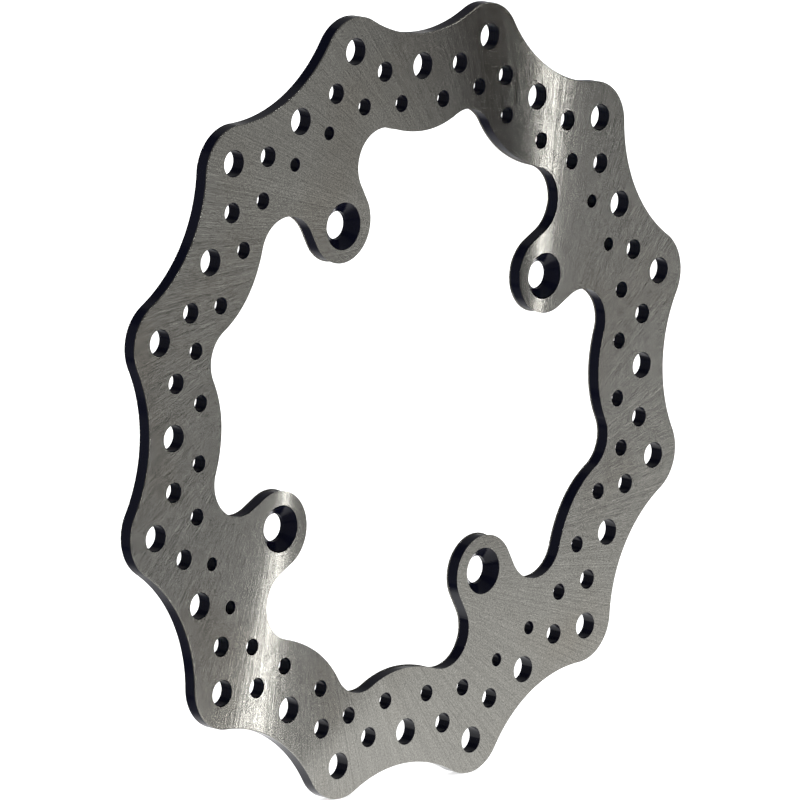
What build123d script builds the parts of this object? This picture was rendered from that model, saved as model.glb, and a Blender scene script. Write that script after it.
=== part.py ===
from build123d import *
import math
import os

# A one-piece brake disc for the rear wheel of an off-road motorcycle: a flat plate of
# stainless steel with twelve lobes on its rim, a drilled braking band and four ears
# that carry countersunk holes for the hub bolts.
#
# Sizes are in millimetres and angles in degrees. The plate stands upright and turns
# about Y. The origin is the centre of the bolt circle, on the face that seats on the
# hub. The countersunk outer face looks towards -Y. Angles run anticlockwise from +X,
# seen from the outer face.

# Plate, and the edges broken along its two outlines and at its holes
thickness = 4.5
edge_break = 0.3
hole_break = 0.1

# Fixing to the hub
bolt_circle = 130.0
ear_count = 4
first_ear = 30.0
bolt_hole = 8.5
sink_diameter = 14.4
sink_angle = 90.0

# Ears: the tip's wall inside the bolt, and the reach out to the crests of the inner wave
ear_half_width = 11.8
ear_tip_wall = 10.7
ear_length = 17.4

# Band: from the crests of the inner wave out to the tips of the lobes
band_width = 40.1
lobe_count = 12
lobe_radius = 14.0
scallop_depth = 10.7
notch_radius = 11.3
notch_depth = 7.7
bay_radius = 11.3
bay_depth = 4.1

# Drilling, as (diameter, share of the way out across the band, angles from an ear).
# Each angle is repeated on both sides of every ear.
drill_rows = [
    (8.0, 0.745, [15.0, 45.0]),
    (8.0, 0.522, [0.0]),
    (8.0, 0.486, [30.0]),
    (6.0, 0.521, [9.1]),
    (6.0, 0.506, [20.9, 39.1]),
    (5.0, 0.358, [45.0]),
    (5.0, 0.309, [14.9]),
    (5.0, 0.229, [24.5, 35.8]),
    (4.0, 0.281, [5.0]),
]

# Worked out from the sizes above
bolt_radius = bolt_circle / 2
crest_radius = bolt_radius + ear_length
tip_radius = crest_radius + band_width
half_pitch = 180.0 / lobe_count
ear_pitch = 360.0 / ear_count


def polar(radius, angle):
    """The point of the plate's plane at this radius and angle."""
    turn = math.radians(angle)
    return Vector(radius * math.cos(turn), radius * math.sin(turn))


def towards(start, end, distance):
    """The point this far from start on the way to end."""
    return start + (end - start).normalized() * distance


def inward_arc(lowest, neighbour, neighbour_radius):
    """Centre and radius of an arc that bulges inwards and is nearest the axis at lowest.

    It runs without a corner into a neighbouring arc that bulges outwards.
    """
    outward = lowest.normalized()
    away = neighbour - lowest
    gap = away.length**2 - neighbour_radius**2
    radius = gap / (2 * (neighbour_radius + away.dot(outward)))
    return lowest + outward * radius, radius


def outer_outline():
    """Twelve lobes joined by shallow scallops."""
    valley_edge = tip_radius - scallop_depth
    edges = []
    for lobe in range(lobe_count):
        angle = first_ear + half_pitch * (2 * lobe + 1)
        centre = polar(tip_radius - lobe_radius, angle)
        before, _ = inward_arc(polar(valley_edge, angle - half_pitch), centre, lobe_radius)
        valley = polar(valley_edge, angle + half_pitch)
        after, valley_radius = inward_arc(valley, centre, lobe_radius)
        start = towards(centre, before, lobe_radius)
        end = towards(centre, after, lobe_radius)
        next_centre = polar(centre.length, angle + 2 * half_pitch)
        next_start = towards(after, next_centre, valley_radius)
        edges.append(ThreePointArc(start, polar(tip_radius, angle), end))
        edges.append(ThreePointArc(end, valley, next_start))
    return edges


def half_window():
    """From the tip of an ear at angle 0 to the middle of the window beside it.

    In turn: half the ear's round tip, its straight flank, the bay beside the ear,
    the two halves of the inner wave's crest and half of the middle notch.
    """
    ear_centre = Vector(bolt_radius - ear_tip_wall + ear_half_width, 0)
    ear_side = ear_centre + Vector(0, ear_half_width)
    ear_tip = ear_centre - Vector(ear_half_width, 0)
    ear_corner = ear_centre + polar(ear_half_width, 135)

    bay_height = ear_half_width + bay_radius
    bay_reach = crest_radius + bay_depth - bay_radius
    bay_centre = Vector(math.sqrt(bay_reach**2 - bay_height**2), bay_height)
    bay_start = bay_centre - Vector(0, bay_radius)
    bay_far = towards(bay_centre, bay_centre * 2, bay_radius)

    crest = polar(crest_radius, 2 * half_pitch)
    rise_centre, rise_radius = inward_arc(crest, bay_centre, bay_radius)
    bay_end = towards(bay_centre, rise_centre, bay_radius)
    rise_side = towards(rise_centre, (bay_end + crest) / 2, rise_radius)

    notch_edge = crest_radius + notch_depth
    notch_centre = polar(notch_edge - notch_radius, 3 * half_pitch)
    fall_centre, fall_radius = inward_arc(crest, notch_centre, notch_radius)
    crest_end = towards(notch_centre, fall_centre, notch_radius)
    fall_side = towards(fall_centre, (crest + crest_end) / 2, fall_radius)
    notch_end = polar(notch_edge, 3 * half_pitch)
    notch_side = towards(notch_centre, (crest_end + notch_end) / 2, notch_radius)

    return [
        ThreePointArc(ear_tip, ear_corner, ear_side),
        Line(ear_side, bay_start),
        ThreePointArc(bay_start, bay_far, bay_end),
        ThreePointArc(bay_end, rise_side, crest),
        ThreePointArc(crest, fall_side, crest_end),
        ThreePointArc(crest_end, notch_side, notch_end),
    ]


def window_outline():
    """The whole inner outline: the half window, mirrored and turned to each ear."""
    edges = []
    for ear in range(ear_count):
        turn = first_ear + ear * ear_pitch
        for edge in half_window():
            edges.append(edge.rotate(Axis.Z, turn))
            edges.append(edge.mirror(Plane.XZ).rotate(Axis.Z, turn))
    return edges


def drill_holes():
    """Centres and diameters of the drilled holes, without repeats."""
    band_holes = {}
    for diameter, share, angles in drill_rows:
        radius = crest_radius + share * band_width
        for angle in angles:
            for ear in range(ear_count):
                for side in (1, -1):
                    turn = (first_ear + ear * ear_pitch + side * angle) % 360
                    band_holes[(round(radius, 3), round(turn, 3))] = diameter
    return [(polar(radius, turn), diameter) for (radius, turn), diameter in band_holes.items()]


def bore(centre, diameter):
    """A straight hole through the plate, with a broken edge on both faces."""
    mouth = diameter / 2 + hole_break
    profile = Polyline(
        (0, 0),
        (mouth, 0),
        (diameter / 2, hole_break),
        (diameter / 2, thickness - hole_break),
        (mouth, thickness),
        (0, thickness),
        close=True,
    )
    tool = revolve(Plane.XZ * make_face(profile), Axis.Z)
    return Pos(centre.X, centre.Y, 0) * tool


def sink(centre):
    """The countersink for a bolt's head, open on the outer face."""
    half_angle = math.radians(sink_angle / 2)
    depth = (sink_diameter - bolt_hole) / 2 / math.tan(half_angle)
    head = Cone(bolt_hole / 2, sink_diameter / 2, depth)
    return Pos(centre.X, centre.Y, thickness - depth / 2) * head


def brake_disc():
    """The plate, modelled lying on XY with its outer face up, then stood upright."""
    outer = make_face(outer_outline())
    window = make_face(window_outline())
    plate = extrude(outer - window, thickness)
    flat_faces = plate.faces().filter_by(Axis.Z)
    plate = chamfer(flat_faces.edges(), edge_break)
    plate -= [bore(centre, diameter) for centre, diameter in drill_holes()]
    for ear in range(ear_count):
        centre = polar(bolt_radius, first_ear + ear * ear_pitch)
        plate -= [bore(centre, bolt_hole), sink(centre)]
    return plate.rotate(Axis.X, 90)


disc = brake_disc()
disc.label = "brake_disc"
os.makedirs("parts", exist_ok=True)
export_step(disc, "parts/brake_disc.step")
print("brake_disc", len(disc.solids()), "solid", round(disc.volume), "mm3")
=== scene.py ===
import math

import bmesh
import bpy
from mathutils import Matrix, Vector


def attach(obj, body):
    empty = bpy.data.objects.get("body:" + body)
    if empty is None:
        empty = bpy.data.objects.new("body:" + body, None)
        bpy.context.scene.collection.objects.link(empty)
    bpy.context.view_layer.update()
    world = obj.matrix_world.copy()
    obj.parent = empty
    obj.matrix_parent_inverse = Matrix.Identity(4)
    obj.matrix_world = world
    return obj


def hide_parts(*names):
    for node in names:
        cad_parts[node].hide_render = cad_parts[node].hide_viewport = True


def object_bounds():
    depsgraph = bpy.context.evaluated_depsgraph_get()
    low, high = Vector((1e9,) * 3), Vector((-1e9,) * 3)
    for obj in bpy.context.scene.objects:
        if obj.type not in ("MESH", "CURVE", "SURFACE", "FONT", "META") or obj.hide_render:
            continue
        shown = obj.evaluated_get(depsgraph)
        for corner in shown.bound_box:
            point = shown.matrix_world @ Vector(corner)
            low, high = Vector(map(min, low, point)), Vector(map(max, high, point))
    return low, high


# A one-piece brake disc, in metres. The plate stands upright in XZ, its outer face
# towards -Y and its hub face on Y = 0. Angles run anticlockwise from +X, seen from
# the outer face.

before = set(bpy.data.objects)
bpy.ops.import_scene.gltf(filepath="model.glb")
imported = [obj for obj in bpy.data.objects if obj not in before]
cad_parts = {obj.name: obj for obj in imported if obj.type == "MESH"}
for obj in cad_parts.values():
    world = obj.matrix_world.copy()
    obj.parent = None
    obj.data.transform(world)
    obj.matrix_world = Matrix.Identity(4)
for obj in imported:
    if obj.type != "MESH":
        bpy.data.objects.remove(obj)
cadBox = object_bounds()


# Node maths: a wrapped socket that adds Math nodes through Python's operators


class Sock:
    def __init__(self, tree, socket):
        self.tree = tree
        self.socket = socket

    def math(self, operation, *values):
        settings = {"operation": operation}
        return addNode(self.tree, "ShaderNodeMath", settings, dict(enumerate(values)))

    def call(self, operation, *others):
        return self.math(operation, self, *others)

    def __add__(self, other):
        return self.math("ADD", self, other)

    def __radd__(self, other):
        return self.math("ADD", other, self)

    def __sub__(self, other):
        return self.math("SUBTRACT", self, other)

    def __rsub__(self, other):
        return self.math("SUBTRACT", other, self)

    def __mul__(self, other):
        return self.math("MULTIPLY", self, other)

    def __rmul__(self, other):
        return self.math("MULTIPLY", other, self)

    def __truediv__(self, other):
        return self.math("DIVIDE", self, other)

    def __rtruediv__(self, other):
        return self.math("DIVIDE", other, self)

    def above(self, edge):
        return self.call("GREATER_THAN", edge)

    def ramp(self, low, high):
        # 0 below low, 1 above high, smooth in between
        settings = {"interpolation_type": "SMOOTHSTEP"}
        limits = {"Value": self, "From Min": low, "From Max": high}
        return addNode(self.tree, "ShaderNodeMapRange", settings, limits)


def addNode(tree, kind, settings, inputs, output=0):
    node = tree.nodes.new(kind)
    for name, value in settings.items():
        setattr(node, name, value)
    for name, value in inputs.items():
        for part in value if isinstance(value, list) else [value]:
            if isinstance(part, Sock):
                tree.links.new(part.socket, node.inputs[name])
            else:
                node.inputs[name].default_value = part
    return Sock(tree, node.outputs[output])


# The plate: sizes in metres, angles in degrees


plate = {
    "thickness": 0.0045,
    "edgeRadius": 0.0003,  # rounding along both outlines
    "mouthBreak": 0.0001,  # chamfer at the holes
    "roundSteps": 4,  # facets across a rounded edge
    "lineStep": 0.0007,  # length of one edge along an outline
    "boreSides": 40,
    "creaseAngle": 10.0,  # edges that bend more are sharp
    "sewDistance": 0.000001,
    "levelError": 0.00001,  # when looking for the edges at a face
    "ears": 4,
    "firstEar": 30.0,
    "boltCircle": 0.0650,  # radius
    "boltRadius": 0.00425,
    "sinkRadius": 0.0072,
    "earHalfWidth": 0.0118,
    "earTip": 0.0543,
    "crestRadius": 0.0824,
    "bayRadius": 0.0113,
    "bayDepth": 0.0041,
    "notchRadius": 0.0113,
    "notchDepth": 0.0077,
    "lobes": 12,
    "tipRadius": 0.1225,
    "lobeRadius": 0.0140,
    "scallopDepth": 0.0107,
}

# Drilled holes: bore radius, radius of the row, angles from an ear (both sides)
drillRows = [
    (0.0040, 0.11227, (15.0, 45.0)),
    (0.0040, 0.10333, (0.0,)),
    (0.0040, 0.10189, (30.0,)),
    (0.0030, 0.10329, (9.1,)),
    (0.0030, 0.10269, (20.9, 39.1)),
    (0.0025, 0.09676, (45.0,)),
    (0.0025, 0.09479, (14.9,)),
    (0.0025, 0.09158, (24.5, 35.8)),
    (0.0020, 0.09367, (5.0,)),
]


def polar(radius, angle):
    turn = math.radians(angle)
    return Vector((radius * math.cos(turn), radius * math.sin(turn), 0))


def arcPoints(centre, start, end):
    # the shorter way round from start to end, without the end point
    first = math.atan2(start.y - centre.y, start.x - centre.x)
    last = math.atan2(end.y - centre.y, end.x - centre.x)
    sweep = (last - first + math.pi) % (2 * math.pi) - math.pi
    radius = (start - centre).length
    count = max(3, round(abs(sweep) * radius / plate["lineStep"]))
    turns = [first + sweep * i / count for i in range(count)]
    return [centre + radius * Vector((math.cos(t), math.sin(t), 0)) for t in turns]


def linePoints(start, end):
    count = max(2, round((end - start).length / plate["lineStep"]))
    return [start.lerp(end, i / count) for i in range(count)]


def inwardArc(lowest, neighbour, neighbourRadius):
    # centre and radius of the arc that bulges inwards to lowest and runs into its neighbour
    away = neighbour - lowest
    gap = away.length_squared - neighbourRadius**2
    radius = gap / (2 * (neighbourRadius + away.dot(lowest.normalized())))
    return lowest + lowest.normalized() * radius, radius


def rimSector():
    # from the bottom of a scallop, at angle 0, to the tip of the next lobe
    half = 180 / plate["lobes"]
    tip = polar(plate["tipRadius"], half)
    lobeCentre = polar(plate["tipRadius"] - plate["lobeRadius"], half)
    valley = polar(plate["tipRadius"] - plate["scallopDepth"], 0)
    valleyCentre, valleyRadius = inwardArc(valley, lobeCentre, plate["lobeRadius"])
    meet = valleyCentre + (lobeCentre - valleyCentre).normalized() * valleyRadius
    points = arcPoints(valleyCentre, valley, meet)
    return points + arcPoints(lobeCentre, meet, tip) + [tip]


def windowSector():
    # from the tip of an ear, at angle 0, to the middle of the notch between two ears
    half = 180 / plate["lobes"]
    flank = plate["earHalfWidth"]
    earCentre = Vector((plate["earTip"] + flank, 0, 0))
    earSide = earCentre + Vector((0, flank, 0))

    bayRadius = plate["bayRadius"]
    bayReach = plate["crestRadius"] + plate["bayDepth"] - bayRadius
    bayHeight = flank + bayRadius
    bayCentre = Vector((math.sqrt(bayReach**2 - bayHeight**2), bayHeight, 0))
    bayStart = bayCentre - Vector((0, bayRadius, 0))
    bayFar = bayCentre + bayCentre.normalized() * bayRadius

    crest = polar(plate["crestRadius"], 2 * half)
    riseCentre = inwardArc(crest, bayCentre, bayRadius)[0]
    bayEnd = bayCentre + (riseCentre - bayCentre).normalized() * bayRadius

    notchEnd = polar(plate["crestRadius"] + plate["notchDepth"], 3 * half)
    notchCentre = notchEnd - notchEnd.normalized() * plate["notchRadius"]
    fallCentre = inwardArc(crest, notchCentre, plate["notchRadius"])[0]
    crestEnd = notchCentre + (fallCentre - notchCentre).normalized() * plate["notchRadius"]

    points = arcPoints(earCentre, polar(plate["earTip"], 0), earSide)
    points += linePoints(earSide, bayStart)
    points += arcPoints(bayCentre, bayStart, bayFar)
    points += arcPoints(bayCentre, bayFar, bayEnd)
    points += arcPoints(riseCentre, bayEnd, crest)
    points += arcPoints(fallCentre, crest, crestEnd)
    points += arcPoints(notchCentre, crestEnd, notchEnd)
    return points + [notchEnd]


def drillPlaces():
    # the places and bores of one quarter's holes
    quarter = 180 / plate["ears"]
    places = {}
    for bore, row, angles in drillRows:
        for angle in angles:
            for turn in {angle, -angle} - {-quarter}:
                places[(row, turn)] = bore
    return [polar(row, turn) for row, turn in places], list(places.values())


def wallSection(inset, steps, side, sink=0.0):
    # section of a wall from the hub face to the outer face: x is outwards, -y is the height
    high = plate["thickness"]
    bend = [math.pi / 2 * i / steps for i in range(steps + 1)]
    points = [(inset * (1 - math.sin(t)), inset * (1 - math.cos(t))) for t in bend]
    if steps > 1:
        points.append((0, 1.5 * inset))  # keeps the wall flat beside the rounding
    if sink:
        points += [(0, high - sink), (sink, high)]
    else:
        points += [(x, high - y) for x, y in reversed(points)]
    return [Vector((side * x, -y, 0)) for x, y in points]


def helperMesh(name, points, linked=True):
    # points for the tree to read, with an edge from each to the next if they are a line
    mesh = bpy.data.meshes.new(name)
    edges = [(i, i + 1) for i in range(len(points) - 1)] if linked else []
    mesh.from_pydata(points, edges, [])
    helper = bpy.data.objects.new(name, mesh)
    bpy.context.scene.collection.objects.link(helper)
    return helper


# The plate's tree. It draws every outline and bore as a loop of points, stands a wall on
# each loop, and closes the two faces between the walls.


def loops(tree, count, position, group):
    # closed curves through points in the order of their index
    points = addNode(tree, "GeometryNodePoints", {}, {"Count": count})
    moved = {"Geometry": points, "Position": position}
    placed = addNode(tree, "GeometryNodeSetPosition", {}, moved)
    curves = addNode(
        tree, "GeometryNodePointsToCurves", {}, {"Points": placed, "Curve Group ID": group}
    )
    closed = addNode(
        tree, "GeometryNodeSetSplineCyclic", {}, {"Geometry": curves, "Cyclic": True}
    )
    return addNode(tree, "GeometryNodeSetCurveNormal", {"mode": "Z_UP"}, {"Curve": closed})


def objectShape(tree, thing):
    return addNode(tree, "GeometryNodeObjectInfo", {}, {"Object": thing}, "Geometry")


def wall(tree, curves, section):
    profile = addNode(tree, "GeometryNodeMeshToCurve", {}, {"Mesh": objectShape(tree, section)})
    return addNode(
        tree, "GeometryNodeCurveToMesh", {}, {"Curve": curves, "Profile Curve": profile}
    )


def joined(tree, parts):
    return addNode(tree, "GeometryNodeJoinGeometry", {}, {"Geometry": parts})


def vectorMath(tree, operation, first, second):
    settings = {"operation": operation}
    return addNode(tree, "ShaderNodeVectorMath", settings, {0: first, 1: second})


def turned(tree, vector, angle):
    settings = {"rotation_type": "Z_AXIS"}
    return addNode(tree, "ShaderNodeVectorRotate", settings, {"Vector": vector, "Angle": angle})


def atIndex(tree, geometry, kind, value, index):
    settings = {"data_type": kind, "domain": "POINT"}
    inputs = {"Geometry": geometry, "Value": value, "Index": index}
    return addNode(tree, "GeometryNodeSampleIndex", settings, inputs)


def outlineLoop(tree, line, repeats, firstAngle):
    # a sector's line, run forwards and then mirrored, for every repeat round the axis
    geometry = objectShape(tree, line)
    size = addNode(
        tree, "GeometryNodeAttributeDomainSize", {}, {"Geometry": geometry}, "Point Count"
    )
    steps = size - 1
    index = addNode(tree, "GeometryNodeInputIndex", {}, {})
    repeat = (index / (steps * 2)).call("FLOOR")
    place = index - repeat * steps * 2
    mirrored = place.above(steps)
    folded = place + mirrored * (steps * 2 - place * 2)
    position = addNode(tree, "GeometryNodeInputPosition", {}, {})
    point = atIndex(tree, geometry, "FLOAT_VECTOR", position, folded)
    flip = addNode(
        tree, "ShaderNodeCombineXYZ", {}, {"X": 1.0, "Y": 1 - mirrored * 2, "Z": 1.0}
    )
    sided = vectorMath(tree, "MULTIPLY", point, flip)
    angle = firstAngle + (repeat + mirrored) * (2 * math.pi / repeats)
    return loops(tree, steps * 2 * repeats, turned(tree, sided, angle), 0)


def boreLoops(tree, centres, radii, holes, repeats, firstAngle, sides):
    # a circle round each centre; the centres are one repeat's, turned round the axis
    index = addNode(tree, "GeometryNodeInputIndex", {}, {})
    hole = (index / sides).call("FLOOR")
    repeat = (hole / holes).call("FLOOR")
    own = hole - repeat * holes
    turn = (index - hole * sides) * (2 * math.pi / sides)
    radius = atIndex(tree, centres, "FLOAT", radii, own)
    spot = {"X": turn.call("COSINE") * radius, "Y": turn.call("SINE") * radius}
    around = addNode(tree, "ShaderNodeCombineXYZ", {}, spot)
    position = addNode(tree, "GeometryNodeInputPosition", {}, {})
    centre = atIndex(tree, centres, "FLOAT_VECTOR", position, own)
    angle = firstAngle + repeat * (2 * math.pi / repeats)
    placed = turned(tree, centre, angle)
    position = vectorMath(tree, "ADD", placed, around)
    return loops(tree, repeats * holes * sides, position, hole)


def face(tree, walls, height):
    # fills the plane between the walls' free edges at one height
    neighbours = addNode(tree, "GeometryNodeInputMeshEdgeNeighbors", {}, {})
    free = neighbours.call("LESS_THAN", 1.5)
    position = addNode(tree, "GeometryNodeInputPosition", {}, {})
    level = addNode(tree, "ShaderNodeSeparateXYZ", {}, {"Vector": position}, "Z")
    near = level.call("COMPARE", height, plate["levelError"])
    edges = {"Mesh": walls, "Selection": free * near}
    rings = addNode(tree, "GeometryNodeMeshToCurve", {}, edges)
    filled = addNode(tree, "GeometryNodeFillCurve", {"mode": "TRIANGLES"}, {"Curve": rings})
    lift = addNode(tree, "ShaderNodeCombineXYZ", {}, {"Z": height})
    return addNode(
        tree, "GeometryNodeTransform", {}, {"Geometry": filled, "Translation": lift}
    )


def markedGround(tree, geometry, selection=True):
    settings = {"data_type": "FLOAT", "domain": "FACE"}
    inputs = {"Geometry": geometry, "Selection": selection, "Name": "ground", "Value": 1.0}
    return addNode(tree, "GeometryNodeStoreNamedAttribute", settings, inputs)


def buildPlateTree():
    tree = bpy.data.node_groups.new("discPlate", "GeometryNodeTree")
    kinds = {
        "Object": [
            "Rim line", "Window line", "Drilled holes",
            "Rim section", "Window section", "Bore section", "Bolt section",
        ],
        "Int": ["Lobes", "Ears", "Drilled per ear", "Bore sides"],
        "Float": [
            "First ear", "Crease angle", "Thickness", "Edge radius", "Bolt circle", "Bolt radius",
        ],
        "Material": ["Steel", "Coat"],
    }
    for kind, labels in kinds.items():
        for label in labels:
            tree.interface.new_socket(label, in_out="INPUT", socket_type="NodeSocket" + kind)
    tree.interface.new_socket("Plate", in_out="OUTPUT", socket_type="NodeSocketGeometry")
    group = tree.nodes.new("NodeGroupInput")
    given = {socket.name: Sock(tree, socket) for socket in group.outputs if socket.name}

    # the two outlines and their walls
    rim = outlineLoop(tree, given["Rim line"], given["Lobes"], given["First ear"])
    window = outlineLoop(tree, given["Window line"], given["Ears"], given["First ear"])
    rimWall = wall(tree, rim, given["Rim section"])
    windowWall = wall(tree, window, given["Window section"])

    # drilled holes and bolt holes
    drilled = objectShape(tree, given["Drilled holes"])
    bore = addNode(
        tree, "GeometryNodeInputNamedAttribute", {"data_type": "FLOAT"}, {"Name": "bore"}
    )
    spot = addNode(tree, "ShaderNodeCombineXYZ", {}, {"X": given["Bolt circle"]})
    bolt = addNode(tree, "GeometryNodePoints", {}, {"Count": 1, "Position": spot})
    repeat = [given["Ears"], given["First ear"], given["Bore sides"]]
    bores = boreLoops(tree, drilled, bore, given["Drilled per ear"], *repeat)
    bolts = boreLoops(tree, bolt, given["Bolt radius"], 1, *repeat)
    boreWall = wall(tree, bores, given["Bore section"])
    boltWall = wall(tree, bolts, given["Bolt section"])

    # the ground parts are the two faces and the rounding along the outlines
    position = addNode(tree, "GeometryNodeInputPosition", {}, {})
    level = addNode(tree, "ShaderNodeSeparateXYZ", {}, {"Vector": position}, "Z")
    half = given["Thickness"] * 0.5
    rounding = (level - half).call("ABSOLUTE").above(half - given["Edge radius"])
    outlines = markedGround(tree, joined(tree, [rimWall, windowWall]), rounding)
    walls = joined(tree, [outlines, boreWall, boltWall])
    faces = [face(tree, walls, 0.0), face(tree, walls, given["Thickness"])]
    skin = joined(tree, [walls, markedGround(tree, joined(tree, faces))])

    # sewn into one closed skin, creased at its sharp edges and stood upright
    sewn = {"Geometry": skin, "Distance": plate["sewDistance"]}
    skin = addNode(tree, "GeometryNodeMergeByDistance", {}, sewn)
    bend = addNode(tree, "GeometryNodeInputMeshEdgeAngle", {}, {})
    sharp = {"Selection": bend.above(given["Crease angle"]), "Shade Smooth": False}
    skin = addNode(tree, "GeometryNodeSetShadeSmooth", {"domain": "FACE"}, {"Geometry": skin})
    skin = addNode(
        tree, "GeometryNodeSetShadeSmooth", {"domain": "EDGE"}, {"Geometry": skin, **sharp}
    )
    upright = {"Geometry": skin, "Rotation": (math.pi / 2, 0, 0)}
    skin = addNode(tree, "GeometryNodeTransform", {}, upright)
    skin = addNode(tree, "GeometryNodeRealizeInstances", {}, {"Geometry": skin})
    coated = {"Geometry": skin, "Material": given["Coat"]}
    skin = addNode(tree, "GeometryNodeSetMaterial", {}, coated)
    ground = addNode(
        tree, "GeometryNodeInputNamedAttribute", {"data_type": "FLOAT"}, {"Name": "ground"}
    )
    shone = {"Geometry": skin, "Selection": ground, "Material": given["Steel"]}
    skin = addNode(tree, "GeometryNodeSetMaterial", {}, shone)
    result = tree.nodes.new("NodeGroupOutput")
    tree.links.new(skin.socket, result.inputs[0])
    return tree


def plainMesh(owner, name):
    # the evaluated shape of an object, as an object of its own
    graph = bpy.context.evaluated_depsgraph_get()
    mesh = bpy.data.meshes.new_from_object(owner.evaluated_get(graph))
    bpy.data.objects.remove(owner)
    form = bmesh.new()
    form.from_mesh(mesh)
    bmesh.ops.recalc_face_normals(form, faces=form.faces)
    loose = sum(1 for edge in form.edges if len(edge.link_faces) != 2)
    print(name, "faces", len(form.faces), "open edges", loose, "volume", form.calc_volume())
    form.to_mesh(mesh)
    form.free()
    mesh.name = name
    piece = bpy.data.objects.new(name, mesh)
    bpy.context.scene.collection.objects.link(piece)
    return piece


def discPlate(steel, coat):
    tree = buildPlateTree()
    points, radii = drillPlaces()
    drilled = helperMesh("drilledHoles", points, linked=False)
    bores = drilled.data.attributes.new("bore", "FLOAT", "POINT")
    bores.data.foreach_set("value", radii)
    edge = (plate["edgeRadius"], plate["roundSteps"])
    mouth = (plate["mouthBreak"], 1)
    sinkDepth = plate["sinkRadius"] - plate["boltRadius"]
    values = {
        "Rim line": helperMesh("rimLine", rimSector()),
        "Window line": helperMesh("windowLine", windowSector()),
        "Drilled holes": drilled,
        "Rim section": helperMesh("rimSection", wallSection(*edge, -1)),
        "Window section": helperMesh("windowSection", wallSection(*edge, -1)),
        "Bore section": helperMesh("boreSection", wallSection(*mouth, 1)),
        "Bolt section": helperMesh("boltSection", wallSection(*mouth, 1, sinkDepth)),
        "Lobes": plate["lobes"],
        "Ears": plate["ears"],
        "Drilled per ear": len(points),
        "Bore sides": plate["boreSides"],
        "First ear": math.radians(plate["firstEar"]),
        "Crease angle": math.radians(plate["creaseAngle"]),
        "Thickness": plate["thickness"],
        "Edge radius": plate["edgeRadius"],
        "Bolt circle": plate["boltCircle"],
        "Bolt radius": plate["boltRadius"],
        "Steel": steel,
        "Coat": coat,
    }
    helpers = [value for value in values.values() if isinstance(value, bpy.types.Object)]
    owner = helperMesh("plateTree", [])
    modifier = owner.modifiers.new("discPlate", "NODES")
    modifier.node_group = tree
    for item in tree.interface.items_tree:
        if item.in_out == "INPUT":
            modifier[item.identifier] = values[item.name]
    disc = plainMesh(owner, "discPlate")
    for helper in helpers:
        bpy.data.objects.remove(helper)
    return disc


# Finishes. The faces are ground with straight strokes that all run past the axis at one
# distance, so the strokes' direction turns with the place on the plate.


steelLook = {
    "color": (0.335, 0.328, 0.300, 1),
    "tarnish": (0.270, 0.245, 0.205, 1),
    "tarnishScale": 22.0,
    "tarnishDetail": 5.0,
    "tarnishRange": (0.45, 0.75),
    "tarnishShare": 0.55,
    "strokeDistance": 0.0515,  # from the axis to every stroke
    "sineLimit": 0.999,  # closer to the axis than the strokes come
    "tilt": 0.75,  # of the steepest flank
    "fineStrokes": 14000.0,  # per radian
    "strokeLength": 0.003,
    "strokeShift": 7,  # the cuts of one line against the next, in stroke lengths
    "midStrokes": 170.0,  # bundles of strokes that are cut more or less deep
    "midShare": 0.2,
    "wideStrokes": 40.0,
    "wideShare": 0.1,
    "slantStrokes": 260.0,
    "slant": 0.14,  # how far a stroke leans along itself
    "roughness": 0.17,
    "grainScale": 1800.0,
    "grainShare": 0.9,
    "streakStrokes": 240.0,  # lighter and darker lines along the strokes
    "streakShare": 0.7,
}

coatLook = {
    "color": (0.0012, 0.0014, 0.0045, 1),
    "roughness": 0.12,
    "specular": 0.25,
    "grooveScale": 1800.0,
    "grooveDepth": 0.00003,
}


def newMaterial(name):
    material = bpy.data.materials.new(name)
    material.use_nodes = True
    tree = material.node_tree
    shader = tree.nodes["Principled BSDF"]
    place = addNode(tree, "ShaderNodeTexCoord", {}, {}, "Object")
    return material, tree, shader, place


def setShader(tree, shader, inputs):
    for name, value in inputs.items():
        if isinstance(value, Sock):
            tree.links.new(value.socket, shader.inputs[name])
        else:
            shader.inputs[name].default_value = value


def mixColors(tree, blend, inputs):
    # the color sockets of the Mix node
    settings = {"data_type": "RGBA", "blend_type": blend}
    places = {"Factor": "Factor_Float", "A": "A_Color", "B": "B_Color"}
    node = tree.nodes.new("ShaderNodeMix")
    for name, value in settings.items():
        setattr(node, name, value)
    sockets = {socket.identifier: socket for socket in node.inputs}
    for name, value in inputs.items():
        if isinstance(value, Sock):
            tree.links.new(value.socket, sockets[places[name]])
        else:
            sockets[places[name]].default_value = value
    outputs = {socket.identifier: socket for socket in node.outputs}
    return Sock(tree, outputs["Result_Color"])


def noise(tree, vector, scale, detail=2.0):
    inputs = {"Vector": vector, "Scale": scale, "Detail": detail}
    return addNode(tree, "ShaderNodeTexNoise", {"noise_dimensions": "3D"}, inputs)


def whiteNoise(tree, vector):
    settings = {"noise_dimensions": "3D"}
    return addNode(tree, "ShaderNodeTexWhiteNoise", settings, {"Vector": vector})


def scaledBy(tree, vector, factor):
    settings = {"operation": "SCALE"}
    return addNode(tree, "ShaderNodeVectorMath", settings, {0: vector, "Scale": factor})


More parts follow.
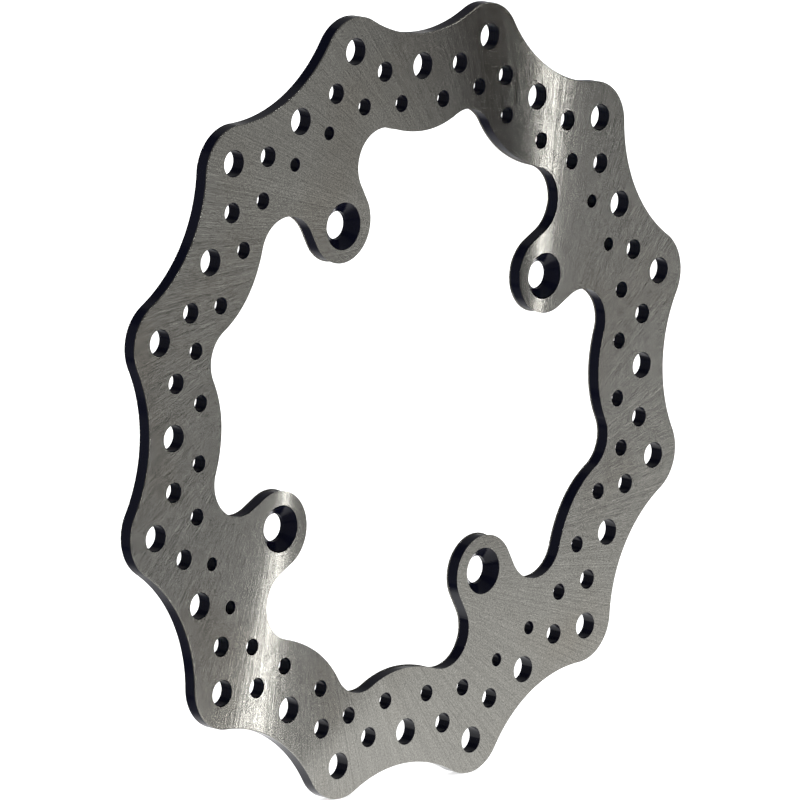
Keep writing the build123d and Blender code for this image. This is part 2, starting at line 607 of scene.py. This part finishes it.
def groundSteel():
    material, tree, shader, place = newMaterial("groundSteel")
    x = addNode(tree, "ShaderNodeSeparateXYZ", {}, {"Vector": place}, "X")
    z = addNode(tree, "ShaderNodeSeparateXYZ", {}, {"Vector": place}, "Z")
    radius = (x * x + z * z).call("SQRT")
    sine = (steelLook["strokeDistance"] / radius).call("MINIMUM", steelLook["sineLimit"])
    cosine = (1 - sine * sine).call("SQRT")
    alongX = (x * cosine - z * sine) / radius
    alongZ = (z * cosine + x * sine) / radius
    stroke = addNode(tree, "ShaderNodeCombineXYZ", {}, {"X": alongX, "Z": alongZ})
    across = addNode(tree, "ShaderNodeCombineXYZ", {}, {"X": alongZ * -1, "Z": alongX})

    # each line is cut into short strokes, and no two lines are cut at the same places
    cells = scaledBy(tree, stroke, steelLook["fineStrokes"])
    cells = addNode(tree, "ShaderNodeVectorMath", {"operation": "FLOOR"}, {0: cells})
    line = whiteNoise(tree, cells)
    part = (radius * cosine / steelLook["strokeLength"] + line * steelLook["strokeShift"]).call("FLOOR")
    lift = addNode(tree, "ShaderNodeCombineXYZ", {}, {"Y": part})
    cells = vectorMath(tree, "ADD", cells, lift)
    fine = whiteNoise(tree, cells)

    # every stroke is a groove whose flank leans across it, and a little along it
    mid = noise(tree, stroke, steelLook["midStrokes"])
    wide = noise(tree, stroke, steelLook["wideStrokes"])
    depth = 1 + (mid - 0.5) * steelLook["midShare"] + (wide - 0.5) * steelLook["wideShare"]
    tilt = (fine * 2 - 1) * depth * steelLook["tilt"]
    slant = (noise(tree, stroke, steelLook["slantStrokes"]) - 0.5) * steelLook["slant"]
    normal = addNode(tree, "ShaderNodeNewGeometry", {}, {}, "Normal")
    leaning = vectorMath(tree, "ADD", normal, scaledBy(tree, across, tilt))
    leaning = vectorMath(tree, "ADD", leaning, scaledBy(tree, stroke, slant))
    leaning = addNode(tree, "ShaderNodeVectorMath", {"operation": "NORMALIZE"}, {0: leaning})

    stain = noise(tree, place, steelLook["tarnishScale"], steelLook["tarnishDetail"])
    stain = stain.ramp(*steelLook["tarnishRange"])
    colors = {"A": steelLook["color"], "B": steelLook["tarnish"]}
    colors["Factor"] = stain * steelLook["tarnishShare"]
    color = mixColors(tree, "MIX", colors)
    grain = noise(tree, place, steelLook["grainScale"], 1.0)
    streak = noise(tree, stroke, steelLook["streakStrokes"])
    tone = 1 + (grain - 0.5) * steelLook["grainShare"]
    tone = tone * (1 + (streak - 0.5) * steelLook["streakShare"])
    shade = addNode(tree, "ShaderNodeCombineXYZ", {}, {"X": tone, "Y": tone, "Z": tone})
    color = mixColors(tree, "MULTIPLY", {"A": color, "B": shade, "Factor": 1.0})
    setShader(tree, shader, {
        "Base Color": color,
        "Metallic": 1.0,
        "Roughness": steelLook["roughness"],
        "Normal": leaning,
    })
    return material


def blueCoat():
    material, tree, shader, place = newMaterial("blueCoat")
    x = addNode(tree, "ShaderNodeSeparateXYZ", {}, {"Vector": place}, "X")
    z = addNode(tree, "ShaderNodeSeparateXYZ", {}, {"Vector": place}, "Z")
    across = addNode(tree, "ShaderNodeCombineXYZ", {}, {"X": x, "Z": z})
    height = noise(tree, across, coatLook["grooveScale"])
    bump = {"Height": height, "Distance": coatLook["grooveDepth"]}
    setShader(tree, shader, {
        "Base Color": coatLook["color"],
        "Roughness": coatLook["roughness"],
        "Specular IOR Level": coatLook["specular"],
        "Normal": addNode(tree, "ShaderNodeBump", {}, bump),
    })
    return material


disc = discPlate(groundSteel(), blueCoat())
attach(disc, "root")
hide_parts("brake_disc")
print("plate made")


# Camera: a long lens from the front left, a little above


view = {
    "lens": 395.1,
    "azimuth": -46.42,
    "elevation": 10.05,
    "roll": 1.475,
    "distance": 2.648,
    "farClip": 100,
    "aim": (-0.0008, 0.0007, -0.0004),
}


def viewBack():
    # from the disc towards the camera
    azimuth = math.radians(view["azimuth"])
    elevation = math.radians(view["elevation"])
    level = math.cos(elevation)
    return Vector((math.sin(azimuth) * level, -math.cos(azimuth) * level, math.sin(elevation)))


def addCamera():
    roll = math.radians(view["roll"])
    back = viewBack()
    side = Vector((0, 0, 1)).cross(back).normalized()
    top = back.cross(side)
    right = side * math.cos(roll) + top * math.sin(roll)
    up = back.cross(right)
    data = bpy.data.cameras.new("camera")
    data.lens = view["lens"]
    data.clip_end = view["farClip"]
    camera = bpy.data.objects.new("camera", data)
    camera.matrix_world = Matrix.LocRotScale(
        Vector(view["aim"]) + back * view["distance"],
        Matrix((right, up, back)).transposed().to_quaternion(),
        None,
    )
    bpy.context.scene.collection.objects.link(camera)
    bpy.context.scene.camera = camera


addCamera()


# Studio: a white floor and background, with a darker room for the metal to reflect. The
# pool is a patch of the floor, in metres, and the bands are parts of the room.


studio = {
    "floorHalf": 30.0,
    "floorColor": (0.8, 0.8, 0.8, 1),
    "whiteLevel": 1.35,
    "floorGlow": 0.7,
    "bandSoftness": (0.6, 1.4),  # where a band starts and ends to fade, in half widths
    "roomLevel": 0.185,  # brightness that the metal sees all round
    "bandTurn": 103.0,  # strokes at this angle reflect nothing but a dark band
    "bandHalfWidth": 0.07,
    "bandLevel": 0.05,
    "shadeTurn": 50.0,  # strokes near this angle reflect a darker side of the room
    "shadeHalfWidth": 0.21,
    "shadeDrop": 0.55,
    "glowTurn": 145.0,  # and near this one a lighter side
    "glowHalfWidth": 0.25,
    "glowGain": 0.38,
    "stripTurn": 84.0,  # strokes at this angle catch the bright strip
    "stripHalfWidth": 0.042,
    "stripReach": (-0.5, 0.05),  # from side to side
    "stripFade": 0.05,
    "stripLevel": 15.0,
    "pool": 1.14,  # brightness of the pool
    "poolEdge": (-0.082, -0.054),
    "poolSlope": 0.5,
    "poolStart": (-0.33, -0.042),
    "poolEnd": (0.44, 1.9),
}


def dot(tree, vector, fixed):
    settings = {"operation": "DOT_PRODUCT"}
    return addNode(tree, "ShaderNodeVectorMath", settings, {0: vector, 1: fixed}, "Value")


def addFloor():
    low = cadBox[0][2]
    half = studio["floorHalf"]
    mesh = bpy.data.meshes.new("floor")
    corners = [(-half, -half, low), (half, -half, low), (half, half, low), (-half, half, low)]
    mesh.from_pydata(corners, [], [(0, 1, 2, 3)])
    floor = bpy.data.objects.new("floor", mesh)
    floor.visible_shadow = False  # the room below it lights the disc too
    bpy.context.scene.collection.objects.link(floor)
    material, tree, shader, place = newMaterial("floorWhite")
    setShader(tree, shader, {
        "Base Color": studio["floorColor"],
        "Roughness": 1.0,
        "Emission Color": (1, 1, 1, 1),
        "Emission Strength": studio["floorGlow"],
    })
    white = Sock(tree, shader.outputs[0])
    glossyRay = addNode(tree, "ShaderNodeLightPath", {}, {}, "Is Glossy Ray")
    x = addNode(tree, "ShaderNodeSeparateXYZ", {}, {"Vector": place}, "X")
    y = addNode(tree, "ShaderNodeSeparateXYZ", {}, {"Vector": place}, "Y")
    reach = x * studio["poolSlope"] - y.call("ABSOLUTE")
    pool = reach.ramp(*studio["poolEdge"]) * x.ramp(*studio["poolStart"])
    pool = pool * (1 - x.ramp(*studio["poolEnd"]))
    clear = addNode(tree, "ShaderNodeBsdfTransparent", {}, {})
    glow = addNode(tree, "ShaderNodeEmission", {}, {"Strength": studio["pool"]})
    seen = addNode(tree, "ShaderNodeMixShader", {}, {0: pool, 1: clear, 2: glow})
    mixed = addNode(tree, "ShaderNodeMixShader", {}, {0: glossyRay, 1: white, 2: seen})
    tree.links.new(mixed.socket, tree.nodes["Material Output"].inputs["Surface"])
    mesh.materials.append(material)


def strokeBand(tree, toward, turn, halfWidth):
    # the directions that strokes at one angle reflect into the camera, as a soft band
    angle = math.radians(turn)
    stroke = Vector((math.cos(angle), 0, math.sin(angle)))
    off = (dot(tree, toward, stroke) + viewBack().dot(stroke)).call("ABSOLUTE")
    inner, outer = studio["bandSoftness"]
    return 1 - off.ramp(halfWidth * inner, halfWidth * outer)


def addWorld():
    world = bpy.data.worlds.new("studio")
    world.use_nodes = True
    tree = world.node_tree
    toward = addNode(tree, "ShaderNodeTexCoord", {}, {}, "Generated")
    dark = strokeBand(tree, toward, studio["bandTurn"], studio["bandHalfWidth"])
    strip = strokeBand(tree, toward, studio["stripTurn"], studio["stripHalfWidth"])
    side = addNode(tree, "ShaderNodeSeparateXYZ", {}, {"Vector": toward}, "X")
    low, high = studio["stripReach"]
    fade = studio["stripFade"]
    strip = strip * side.ramp(low - fade, low + fade)
    strip = strip * (1 - side.ramp(high - fade, high + fade))
    shade = strokeBand(tree, toward, studio["shadeTurn"], studio["shadeHalfWidth"])
    glow = strokeBand(tree, toward, studio["glowTurn"], studio["glowHalfWidth"])
    room = studio["roomLevel"] + glow * studio["glowGain"] - shade * studio["shadeDrop"]
    room = room.call("MAXIMUM", studio["bandLevel"])
    room = room + dark * (studio["bandLevel"] - room)
    room = room + strip * studio["stripLevel"]
    glossyRay = addNode(tree, "ShaderNodeLightPath", {}, {}, "Is Glossy Ray")
    white = studio["whiteLevel"]
    strength = white + glossyRay * (room - white)
    background = tree.nodes["Background"]
    background.inputs["Color"].default_value = (1, 1, 1, 1)
    tree.links.new(strength.socket, background.inputs["Strength"])
    bpy.context.scene.world = world


addFloor()
addWorld()
bpy.context.scene.view_settings.view_transform = "Standard"
print("studio made")
